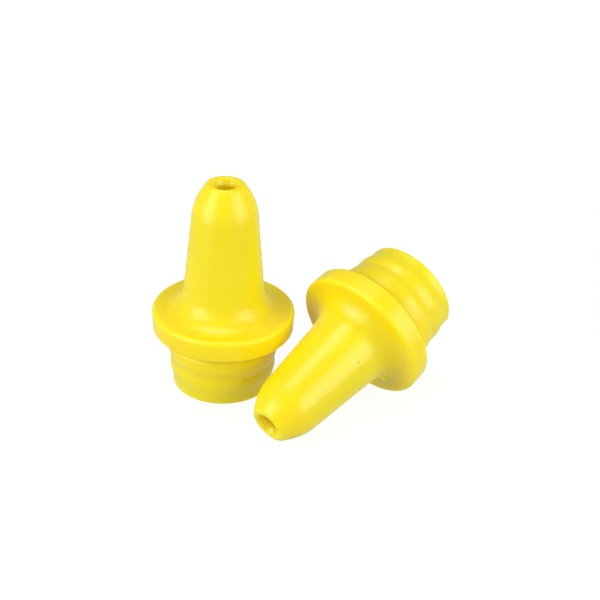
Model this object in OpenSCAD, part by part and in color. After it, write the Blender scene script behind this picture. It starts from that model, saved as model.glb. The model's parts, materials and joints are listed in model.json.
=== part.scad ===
// Push-in electric fence insulator, a pair of identical hollow mouldings.
// Each moulding: ringed plug skirt, bevelled flange, tapering nose with a lead
// hole in its tip. One stands on its skirt, the other lies beside it.
// Millimetres. +Z is up. The origin is the centre of the standing skirt's rim,
// on the surface that both pieces rest on.

/* [Skirt] */
// Outer radius of the plain land at the skirt's rim
skirt_r = 12.8; // [12:0.05:13]
// Height of the plain land at the rim
land_h = 2.4; // [2:0.1:3]
// Crest radius of the lower grip ring
ring_low_r = 13.46; // [13.3:0.02:13.8]
// Height of the lower ring's crest
ring_low_z = 5.6; // [5.4:0.1:5.8]
// Radius of the valley between the rings
valley_r = 13.24; // [13.1:0.02:13.3]
// Crest radius of the upper grip ring
ring_high_r = 14.0; // [13.8:0.02:14.1]
// Height of the upper ring's crest
ring_high_z = 11.2; // [11:0.1:11.4]
// Radius of the neck above the upper ring
neck_r = 13.68; // [13.4:0.02:13.8]
// Height of the neck
neck_z = 13.2; // [13.1:0.05:13.4]

/* [Flange] */
// Outer radius of the flange
flange_r = 18; // [16.5:0.25:21]
// Height at which the flange's wall starts, above its lower bevel
flange_lo_z = 15.95; // [15.5:0.05:16.5]
// Height of the flange's flat top
flange_hi_z = 21.25; // [20.5:0.05:22]
// Radius that rounds the flange's upper edge
edge_fillet = 0.6; // [0.4:0.05:1.2]

/* [Nose] */
// Overall height, rim to tip
total_h = 55.45; // [50:0.05:70]
// Radius of the nose where it would meet the flange's top, before the root fillet
nose_root_r = 10.66; // [10:0.05:10.9]
// Radius of the nose at the start of its rounded end
nose_end_r = 8.03; // [7.4:0.05:8.6]
// Length of the rounded end
nose_end_len = 6.8; // [6:0.1:7.5]
// Radius of the rounded rim round the tip hole, at its crest
tip_rim_r = 4.1; // [3.7:0.1:4.4]
// Radius of the wide fillet between nose and flange
root_fillet = 5.7; // [3:0.1:6]

/* [Bore and hollow] */
// Radius of the lead hole in the tip
bore_r = 2.5; // [1.5:0.1:2.9]
// Depth of the funnel round the lead hole
funnel_d = 1.85; // [1:0.05:2.2]
// Length of the lead hole's straight wall
bore_len = 3.4; // [2.5:0.1:4]
// Wall thickness of the nose
nose_wall = 2.1; // [1.6:0.1:2.6]
// Inner radius of the skirt at its rim
mouth_r = 11.35; // [10.8:0.05:11.6]
// Height at which the skirt's hollow starts to close towards the nose
hollow_z = 16.4; // [14:0.2:18]

/* [Layout] */
// Distance of the lying piece's rim centre along X
lying_x = 48.2; // [47:0.1:90]
// Distance of the lying piece's rim centre along Y
lying_y = 7.1; // [6:0.1:40]
// Heading of the lying piece's nose, turned from -Y
lying_heading = -45.9; // [-60:0.1:-40]

/* [Hidden] */
$fn = 96;
steps = 7;
plastic = [0.97, 0.88, 0.12];

// ---- profile helpers: [r, z, fillet radius] corners to an [r, z] outline ----

function unit(v) = v / norm(v);

// the arc that rounds corner b between a and c, or the corner itself
function corner(a, b, c) =
    b[2] == 0 ? [[b[0], b[1]]] :
    let (
        p = [b[0], b[1]],
        u = unit([a[0], a[1]] - p),
        v = unit([c[0], c[1]] - p),
        half = acos(max(-1, min(1, u * v))) / 2,
        centre = p + unit(u + v) * b[2] / sin(half),
        p0 = p + u * b[2] / tan(half) - centre,
        p1 = p + v * b[2] / tan(half) - centre,
        a0 = atan2(p0[1], p0[0]),
        raw = atan2(p1[1], p1[0]) - a0,
        turn = raw > 180 ? raw - 360 : raw < -180 ? raw + 360 : raw
    )
    [for (i = [0 : steps])
        centre + b[2] * [cos(a0 + turn * i / steps), sin(a0 + turn * i / steps)]];

function outline(k) = [for (i = [0 : len(k) - 1])
    for (q = corner(k[(i + len(k) - 1) % len(k)], k[i], k[(i + 1) % len(k)])) q];

// ---- the moulding's corners, from the rim up the outside, then down inside --

end_z = total_h - nose_end_len;
mid_r = nose_end_r - 1.28;
mid_z = end_z + nose_end_len / 2;
bore_z = total_h - funnel_d;

outside = [
    [skirt_r, 0, 0],
    [skirt_r, land_h, 0],
    [ring_low_r + 0.04, ring_low_z - 0.4, 2.4],
    [ring_low_r + 0.01, ring_low_z + 0.9, 2.0],
    [valley_r, ring_low_z + 2.0, 2.0],
    [ring_high_r - 0.08, ring_high_z - 1.4, 2.8],
    [ring_high_r + 0.04, ring_high_z + 0.8, 1.0],
    [neck_r, neck_z, 0.6],
    [flange_r - 0.16, flange_lo_z, 0.9],
    [flange_r + 0.02, flange_hi_z, edge_fillet],
    [nose_root_r, flange_hi_z + 0.03, root_fillet],
    [nose_end_r, end_z, 12],
    [mid_r, mid_z, 11.5],
    [tip_rim_r - 0.1, total_h + 0.78, 0.9],
];

inside = [
    [bore_r, bore_z, 0],
    [bore_r, bore_z - bore_len, 0],
    [nose_end_r - nose_wall + 0.1, end_z - 1.2, 2.5],
    [nose_root_r - nose_wall - 0.15, 24.5, 4],
    [mouth_r - 0.4, hollow_z, 3],
    [mouth_r, 0.35, 0],
    [mouth_r + 0.3, 0, 0],
];

moulding = outline(concat(outside, inside));

module insulator() {
    color(plastic) rotate_extrude() polygon(moulding);
}

// ---- rest on the side: the tilt at which flange and nose both touch down ----

split_z = 35;

// furthest reach of the outline towards the floor at tilt t, on one side of split_z
function reach(t, nose) = max([for (p = moulding)
    if (nose ? p[1] > split_z : p[1] <= split_z) p[0] * cos(t) + p[1] * sin(t)]);

function rest_tilt(lo, hi, n) =
    let (m = (lo + hi) / 2)
    n == 0 ? m :
    reach(m, true) > reach(m, false) ? rest_tilt(lo, m, n - 1) : rest_tilt(m, hi, n - 1);

tilt = rest_tilt(5, 40, 40);
rest_z = reach(tilt, false);

// ---- the two pieces ---------------------------------------------------------

module standing_insulator() {
    insulator();
}

module lying_insulator() {
    translate([lying_x, lying_y, rest_z])
        rotate([0, 0, lying_heading])
            rotate([90 + tilt, 0, 0])
                insulator();
}

standing_insulator();
lying_insulator();
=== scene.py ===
import json
import math

import bmesh
import bpy
import numpy as np
from mathutils import Matrix, Vector, noise


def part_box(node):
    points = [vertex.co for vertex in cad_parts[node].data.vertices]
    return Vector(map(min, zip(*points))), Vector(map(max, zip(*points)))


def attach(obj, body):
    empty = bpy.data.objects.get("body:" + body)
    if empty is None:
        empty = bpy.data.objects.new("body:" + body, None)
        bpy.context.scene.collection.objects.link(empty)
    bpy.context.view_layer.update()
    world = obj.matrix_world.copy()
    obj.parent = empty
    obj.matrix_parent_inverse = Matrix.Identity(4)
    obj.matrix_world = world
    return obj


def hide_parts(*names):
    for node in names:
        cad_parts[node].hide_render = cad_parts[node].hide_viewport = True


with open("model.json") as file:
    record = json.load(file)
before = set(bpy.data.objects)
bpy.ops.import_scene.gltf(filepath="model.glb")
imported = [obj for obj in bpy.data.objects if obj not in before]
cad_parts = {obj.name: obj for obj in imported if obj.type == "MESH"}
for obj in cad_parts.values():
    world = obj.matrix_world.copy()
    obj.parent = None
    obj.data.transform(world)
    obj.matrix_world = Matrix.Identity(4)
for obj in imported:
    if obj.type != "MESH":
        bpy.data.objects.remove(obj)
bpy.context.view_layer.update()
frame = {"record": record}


MM = 0.001

# ---------------------------------------------------------------------------
# The moulding's outline, as a designer would dimension it: corners [r, z, fillet]
# in millimetres, from the rim up the outside, through the tip and down inside.
# ---------------------------------------------------------------------------
CORNERS = [
    (12.80, 0.00, 0.55),
    (12.80, 2.40, 3.00),
    (13.50, 5.20, 2.40),
    (13.47, 6.50, 2.00),
    (13.24, 7.60, 2.00),
    (13.92, 9.80, 2.80),
    (14.04, 12.00, 1.00),
    (13.68, 13.20, 0.60),
    (17.84, 15.95, 1.00),
    (18.02, 21.24, 0.90),
    (10.67, 21.24, 5.70),
    (8.03, 48.65, 12.0),
    (6.75, 52.05, 11.5),
    (3.98, 56.36, 1.15),
    (2.50, 53.60, 1.10),
    (2.50, 50.20, 0.30),
    (6.03, 47.45, 2.50),
    (8.41, 24.50, 4.00),
    (10.95, 16.40, 3.00),
    (11.35, 0.50, 0.20),
    (11.70, 0.02, 0.10),
]
SKIN = 0.014  # mm the visual skin sits inside the CAD surface


def outline(corners, arc=10):
    pts = []
    n = len(corners)
    for i, (r, z, f) in enumerate(corners):
        p = np.array((r, z))
        if f == 0:
            pts.append(p)
            continue
        a = np.array(corners[i - 1][:2])
        c = np.array(corners[(i + 1) % n][:2])
        u = (a - p) / np.linalg.norm(a - p)
        v = (c - p) / np.linalg.norm(c - p)
        half = math.acos(max(-1.0, min(1.0, float(u @ v)))) / 2
        mid = (u + v) / np.linalg.norm(u + v)
        centre = p + mid * f / math.sin(half)
        p0 = p + u * f / math.tan(half) - centre
        p1 = p + v * f / math.tan(half) - centre
        a0 = math.atan2(p0[1], p0[0])
        turn = (math.atan2(p1[1], p1[0]) - a0 + math.pi) % (2 * math.pi) - math.pi
        for k in range(arc + 1):
            t = a0 + turn * k / arc
            pts.append(centre + f * np.array((math.cos(t), math.sin(t))))
    return np.array(pts)


def resample(pts, step):
    """Closed outline with no edge longer than step."""
    out = []
    for a, b in zip(pts, np.roll(pts, -1, axis=0)):
        d = float(np.linalg.norm(b - a))
        if d < 1e-6:
            continue
        n = max(1, int(math.ceil(d / step)))
        for k in range(n):
            out.append(a + (b - a) * k / n)
    return np.array(out)


def bell(x, w):
    return math.exp(-((x / w) ** 2))


def wrap(a):
    return (a + math.pi) % (2 * math.pi) - math.pi


def angles(partings):
    """Azimuths of the lathe's columns, closer together at the fine features: (angle, half width, columns)."""
    out = [2 * math.pi * k / 320 for k in range(320)]
    for p, half, count in partings:
        out = [a for a in out if abs(wrap(a - p)) > math.radians(half + 0.1)]
        out += [(p + math.radians(d)) % (2 * math.pi) for d in np.linspace(-half, half, count)]
    return sorted(out)


def flash(th, r, z, part, seed):
    """Ragged fin of flash left along a parting line, proud in the root fillet, nearly nothing elsewhere."""
    a = wrap(th - part) * r  # mm along the surface
    wob = noise.noise(Vector((z * 0.9, r * 0.9, seed * 5.1))) * 0.10
    rag = 0.62 + 0.38 * noise.noise(Vector((z * 1.7, r * 1.7, seed * 9.7)))
    fin = 0.42 * rag * bell(z - 24.3, 1.9) * (1.0 if r < 13.2 else bell(r - 13.2, 0.4))
    return (fin + 0.022) * bell(a - wob, 0.085)


def insulator(name, place, seed, partings, extras=(), dense=()):
    """A lathed moulding with the small faults a real one has. place is its 4x4 in metres."""
    prof = resample(outline(CORNERS), 0.42)
    n = len(prof)
    nxt = np.roll(prof, -1, axis=0)
    prv = np.roll(prof, 1, axis=0)
    tang = nxt - prv
    tang /= np.linalg.norm(tang, axis=1)[:, None]
    normal = np.column_stack((tang[:, 1], -tang[:, 0]))  # outward from the plastic
    tip = int(np.argmax(prof[:, 1]))
    verts = []
    off = Vector((seed * 7.31, seed * 3.17, seed * 1.93))
    cols = angles([(p, 1.5, 21) for p in partings] + list(dense))
    for th in cols:
        c, s = math.cos(th), math.sin(th)
        for i in range(n):
            r, z = prof[i]
            nr, nz = normal[i]
            # broad shrinkage and flow marks, always inwards
            p = Vector((r * c, r * s, z))
            w = noise.noise(p * 0.10 + off) * 0.034 + noise.noise(p * 0.31 + off) * 0.012
            d = min(w - 0.034, 0.0) - SKIN
            if i < tip - 3:
                for part in partings:
                    if abs(wrap(th - part)) < 0.06:
                        d += flash(th, r, z, part, seed + part)
                for fn in extras:
                    d += fn(th, r, z)
            verts.append(((r + nr * d) * c, (r + nr * d) * s, z + nz * d))
    verts = np.array(verts)
    verts[:, 2] = np.maximum(verts[:, 2], 0.012)
    far = np.hypot(verts[:, 0], verts[:, 1])
    over = np.maximum(far / (OUTER_R - 0.012), 1.0)  # nothing passes the flange's own radius
    verts[:, 0] /= over
    verts[:, 1] /= over
    mesh = bpy.data.meshes.new(name)
    faces = []
    m_cols = len(cols)
    for j in range(m_cols):
        k = (j + 1) % m_cols
        for i in range(n):
            m = (i + 1) % n
            faces.append((j * n + i, k * n + i, k * n + m, j * n + m))
    mesh.from_pydata([Vector(v) * MM for v in verts], [], faces)
    mesh.transform(place)
    mesh.update()
    bm = bmesh.new()
    bm.from_mesh(mesh)
    bmesh.ops.recalc_face_normals(bm, faces=bm.faces)
    bm.to_mesh(mesh)
    bm.free()
    for f in mesh.polygons:
        f.use_smooth = True
    ob = bpy.data.objects.new(name, mesh)
    bpy.context.scene.collection.objects.link(ob)
    return ob


# ---------------------------------------------------------------------------
# Where the two pieces are, from the record's mounts
# ---------------------------------------------------------------------------
MOUNTS = {m["name"]: m for m in frame["record"]["mounts"]}
lo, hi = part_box("standing_insulator")
OUTER_R = (hi[0] - lo[0]) / 2 / MM
base = Vector(MOUNTS["loose_plug_land"]["pos_m"])
nose = -Vector(MOUNTS["loose_plug_land"]["axis"]).normalized()
heading = math.atan2(nose.x, -nose.y)
tilt = math.asin(-nose.z)
LYING = (
    Matrix.Translation(base)
    @ Matrix.Rotation(heading, 4, "Z")
    @ Matrix.Rotation(math.pi / 2 + tilt, 4, "X")
)


# ---------------------------------------------------------------------------
# Material
# ---------------------------------------------------------------------------
def plastic(name, speck):
    mat = bpy.data.materials.new(name)
    mat.use_nodes = True
    nt = mat.node_tree
    nt.nodes.clear()
    N = nt.nodes.new
    out = N("ShaderNodeOutputMaterial")
    b = N("ShaderNodeBsdfPrincipled")
    nt.links.new(b.outputs["BSDF"], out.inputs["Surface"])
    b.inputs["IOR"].default_value = 1.51
    b.inputs["Subsurface Weight"].default_value = 0.95
    b.inputs["Subsurface Radius"].default_value = (0.74, 0.70, 0.08)
    b.inputs["Subsurface Scale"].default_value = 0.0042
    b.inputs["Specular IOR Level"].default_value = 0.42

    tc = N("ShaderNodeTexCoord")
    # slow colour drift, as pigment and wall thickness vary
    n1 = N("ShaderNodeTexNoise")
    n1.inputs["Scale"].default_value = 95.0
    n1.inputs["Detail"].default_value = 3.0
    n1.inputs["Roughness"].default_value = 0.55
    nt.links.new(tc.outputs["Object"], n1.inputs["Vector"])
    r1 = N("ShaderNodeValToRGB")
    r1.color_ramp.elements[0].position = 0.30
    r1.color_ramp.elements[0].color = (0.915, 0.728, 0.006, 1)
    r1.color_ramp.elements[1].position = 0.72
    r1.color_ramp.elements[1].color = (0.925, 0.755, 0.008, 1)
    nt.links.new(n1.outputs["Fac"], r1.inputs["Fac"])
    # one speck of dirt on the lying nose, and a few finer ones
    far = N("ShaderNodeVectorMath")
    far.operation = "DISTANCE"
    nt.links.new(tc.outputs["Object"], far.inputs[0])
    far.inputs[1].default_value = speck
    dot = N("ShaderNodeMapRange")
    dot.inputs["From Min"].default_value = 0.00014
    dot.inputs["From Max"].default_value = 0.00030
    dot.inputs["To Min"].default_value = 0.75
    dot.inputs["To Max"].default_value = 0.0
    nt.links.new(far.outputs["Value"], dot.inputs["Value"])
    vor = N("ShaderNodeTexVoronoi")
    vor.inputs["Scale"].default_value = 150.0
    nt.links.new(tc.outputs["Object"], vor.inputs["Vector"])
    fine = N("ShaderNodeMapRange")
    fine.inputs["From Min"].default_value = 0.008
    fine.inputs["From Max"].default_value = 0.016
    fine.inputs["To Min"].default_value = 0.2
    fine.inputs["To Max"].default_value = 0.0
    nt.links.new(vor.outputs["Distance"], fine.inputs["Value"])
    either = N("ShaderNodeMath")
    either.operation = "MAXIMUM"
    nt.links.new(dot.outputs["Result"], either.inputs[0])
    nt.links.new(fine.outputs["Result"], either.inputs[1])
    mix = N("ShaderNodeMix")
    mix.data_type = "RGBA"
    nt.links.new(either.outputs["Value"], mix.inputs["Factor"])
    nt.links.new(r1.outputs["Color"], mix.inputs["A"])
    mix.inputs["B"].default_value = (0.16, 0.12, 0.01, 1)
    nt.links.new(mix.outputs["Result"], b.inputs["Base Color"])
    # roughness: waxy, a little uneven
    n2 = N("ShaderNodeTexNoise")
    n2.inputs["Scale"].default_value = 260.0
    n2.inputs["Detail"].default_value = 4.0
    nt.links.new(tc.outputs["Object"], n2.inputs["Vector"])
    m2 = N("ShaderNodeMapRange")
    m2.inputs["From Min"].default_value = 0.3
    m2.inputs["From Max"].default_value = 0.7
    m2.inputs["To Min"].default_value = 0.27
    m2.inputs["To Max"].default_value = 0.34
    nt.links.new(n2.outputs["Fac"], m2.inputs["Value"])
    nt.links.new(m2.outputs["Result"], b.inputs["Roughness"])
    # micro texture
    n3 = N("ShaderNodeTexNoise")
    n3.inputs["Scale"].default_value = 2400.0
    n3.inputs["Detail"].default_value = 2.0
    nt.links.new(tc.outputs["Object"], n3.inputs["Vector"])
    bump = N("ShaderNodeBump")
    bump.inputs["Strength"].default_value = 0.10
    bump.inputs["Distance"].default_value = 0.00006
    nt.links.new(n3.outputs["Fac"], bump.inputs["Height"])
    nt.links.new(bump.outputs["Normal"], b.inputs["Normal"])
    return mat


SPECK_AZ = math.radians(27.4)
SPECK = LYING @ (Vector((9.66 * math.cos(SPECK_AZ), 9.66 * math.sin(SPECK_AZ), 30.3)) * MM)
PLASTIC = plastic("insulator_plastic", SPECK)

# ---------------------------------------------------------------------------
# The two mouldings
# ---------------------------------------------------------------------------
def rim_nick(th, r, z):
    """A flake of flash on the lying piece's rim."""
    a = wrap(th - math.radians(-21)) * r
    return 0.42 * bell(a, 0.26) * bell(z - 0.9, 0.5) if z < 2.5 else 0.0


def curl(th, r, z):
    """Flash folded over beside the parting line, at the foot of the lying piece's nose."""
    a = wrap(th - math.radians(-46)) * r
    s = z - 22.6
    fin = 1.05 * bell(a - 0.45 * s + 0.10 * s * s, 0.17) * bell(s - 0.4, 0.85)
    return fin if 20.8 < z < 26 and r < 15.5 else 0.0


standing = insulator("standing_moulding", Matrix.Identity(4), 1,
                     (math.radians(-168), math.radians(11)))
standing.data.materials.append(PLASTIC)
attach(standing, "standing_piece")
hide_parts("standing_insulator")

lying = insulator("lying_moulding", LYING, 2,
                  (math.radians(-39), math.radians(147)), (rim_nick, curl),
                  ((math.radians(-46), 4.6, 75), (math.radians(-21), 3.0, 41)))
lying.data.materials.append(PLASTIC)
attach(lying, "lying_piece")
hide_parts("lying_insulator")

# ---------------------------------------------------------------------------
# Camera
# ---------------------------------------------------------------------------
PITCH, YAW, ROLL = math.radians(29.73), math.radians(4.33), math.radians(3.09)
CAM = Vector((0.0, -253.730, 168.810)) * MM
fwd = Vector((math.sin(YAW) * math.cos(PITCH), math.cos(YAW) * math.cos(PITCH), -math.sin(PITCH)))
right = Vector((math.cos(YAW), -math.sin(YAW), 0))
up = right.cross(fwd)
x_axis = math.cos(ROLL) * right + math.sin(ROLL) * up
y_axis = -math.sin(ROLL) * right + math.cos(ROLL) * up
cam_data = bpy.data.cameras.new("camera")
cam_data.sensor_width = 36.0
cam_data.lens = 1159.42 / 600 * 36.0
cam_data.clip_start = 0.01
cam_data.clip_end = 10.0
cam = bpy.data.objects.new("camera", cam_data)
cam.matrix_world = Matrix((
    (x_axis.x, y_axis.x, -fwd.x, CAM.x),
    (x_axis.y, y_axis.y, -fwd.y, CAM.y),
    (x_axis.z, y_axis.z, -fwd.z, CAM.z),
    (0, 0, 0, 1),
))
bpy.context.scene.collection.objects.link(cam)
bpy.context.scene.camera = cam

# ---------------------------------------------------------------------------
# Floor and light
# ---------------------------------------------------------------------------
fm = bpy.data.materials.new("studio_floor")
fm.use_nodes = True
fb = fm.node_tree.nodes["Principled BSDF"]
fb.inputs["Base Color"].default_value = (0.14, 0.14, 0.14, 1)
fb.inputs["Roughness"].default_value = 0.95
fb.inputs["Specular IOR Level"].default_value = 0.0
fb.inputs["Emission Color"].default_value = (1, 1, 1, 1)
# the light falls off across the sweep, so its glow rises to keep it white out to the horizon
ftc = fm.node_tree.nodes.new("ShaderNodeTexCoord")
flen = fm.node_tree.nodes.new("ShaderNodeVectorMath")
flen.operation = "LENGTH"
fm.node_tree.links.new(ftc.outputs["Object"], flen.inputs[0])
fmap = fm.node_tree.nodes.new("ShaderNodeMapRange")
fmap.inputs["From Min"].default_value = 0.15
fmap.inputs["From Max"].default_value = 0.70
fmap.inputs["To Min"].default_value = 0.90
fmap.inputs["To Max"].default_value = 1.00
fm.node_tree.links.new(flen.outputs["Value"], fmap.inputs["Value"])
fm.node_tree.links.new(fmap.outputs["Result"], fb.inputs["Emission Strength"])


def floor():
    bm = bmesh.new()
    rings = [0.05, 0.12, 0.25, 0.5, 1.0, 1.8]
    seg = 64
    centre = bm.verts.new((0, 0, 0))
    last = None
    for r in rings:
        ring = [bm.verts.new((r * math.cos(2 * math.pi * k / seg), r * math.sin(2 * math.pi * k / seg), 0)) for k in range(seg)]
        for k in range(seg):
            if last is None:
                bm.faces.new((centre, ring[k], ring[(k + 1) % seg]))
            else:
                bm.faces.new((last[k], ring[k], ring[(k + 1) % seg], last[(k + 1) % seg]))
        last = ring
    me = bpy.data.meshes.new("studio_floor")
    bm.to_mesh(me)
    bm.free()
    ob = bpy.data.objects.new("studio_floor", me)
    bpy.context.scene.collection.objects.link(ob)
    return ob


fl = floor()
fl.data.materials.append(fm)
# a white sweep that shows and takes shadows, while the light from below comes from the dimmer world
fl.visible_diffuse = False
fl.visible_glossy = False
fl.visible_transmission = False
fl.visible_shadow = False

TARGET = Vector((0.02, 0.0, 0.03))


def softbox(name, az, el, dist, wide, high, radiance):
    """az from the camera's side (0 = over the camera, positive to its right), el above the floor;
    wide and high are the angles it fills, in degrees."""
    a = math.radians(az) - YAW
    e = math.radians(el)
    # az is measured from the direction towards the camera
    d = Vector((math.sin(a) * math.cos(e), -math.cos(a) * math.cos(e), math.sin(e)))
    light = bpy.data.lights.new(name, "AREA")
    light.shape = "RECTANGLE"
    light.size = 2 * dist * math.tan(math.radians(wide) / 2)
    light.size_y = 2 * dist * math.tan(math.radians(high) / 2)
    light.energy = radiance * math.pi * light.size * light.size_y
    light.color = (1, 1, 1)
    ob = bpy.data.objects.new(name, light)
    ob.location = TARGET + d * dist
    ob.rotation_euler = (-d).to_track_quat("-Z", "Y").to_euler()
    ob.visible_camera = False
    bpy.context.scene.collection.objects.link(ob)
    return ob


softbox("key_left", -59, 17, 0.9, 38, 46, 3.9)
softbox("key_right", 62, 21, 0.9, 43, 44, 3.4)
softbox("overhead", -110, 82, 0.9, 24, 24, 4.9)

world = bpy.data.worlds.new("studio")
bpy.context.scene.world = world
world.use_nodes = True
wn = world.node_tree
bg = wn.nodes["Background"]
bg.inputs["Strength"].default_value = 1.0
wtc = wn.nodes.new("ShaderNodeTexCoord")
wsep = wn.nodes.new("ShaderNodeSeparateXYZ")
wn.links.new(wtc.outputs["Generated"], wsep.inputs["Vector"])
wmap = wn.nodes.new("ShaderNodeMapRange")
wmap.inputs["From Min"].default_value = -0.15
wmap.inputs["From Max"].default_value = 0.15
wmap.inputs["To Min"].default_value = 0.56
wmap.inputs["To Max"].default_value = 0.34
wn.links.new(wsep.outputs["Z"], wmap.inputs["Value"])
wlp = wn.nodes.new("ShaderNodeLightPath")
wmix = wn.nodes.new("ShaderNodeMix")
wmix.data_type = "RGBA"
wn.links.new(wlp.outputs["Is Camera Ray"], wmix.inputs["Factor"])
wn.links.new(wmap.outputs["Result"], wmix.inputs["A"])
wmix.inputs["B"].default_value = (1.0, 1.0, 1.0, 1.0)
wn.links.new(wmix.outputs["Result"], bg.inputs["Color"])

vs = bpy.context.scene.view_settings
vs.view_transform = "Standard"
vs.look = "None"
vs.exposure = 0.0
vs.gamma = 1.0
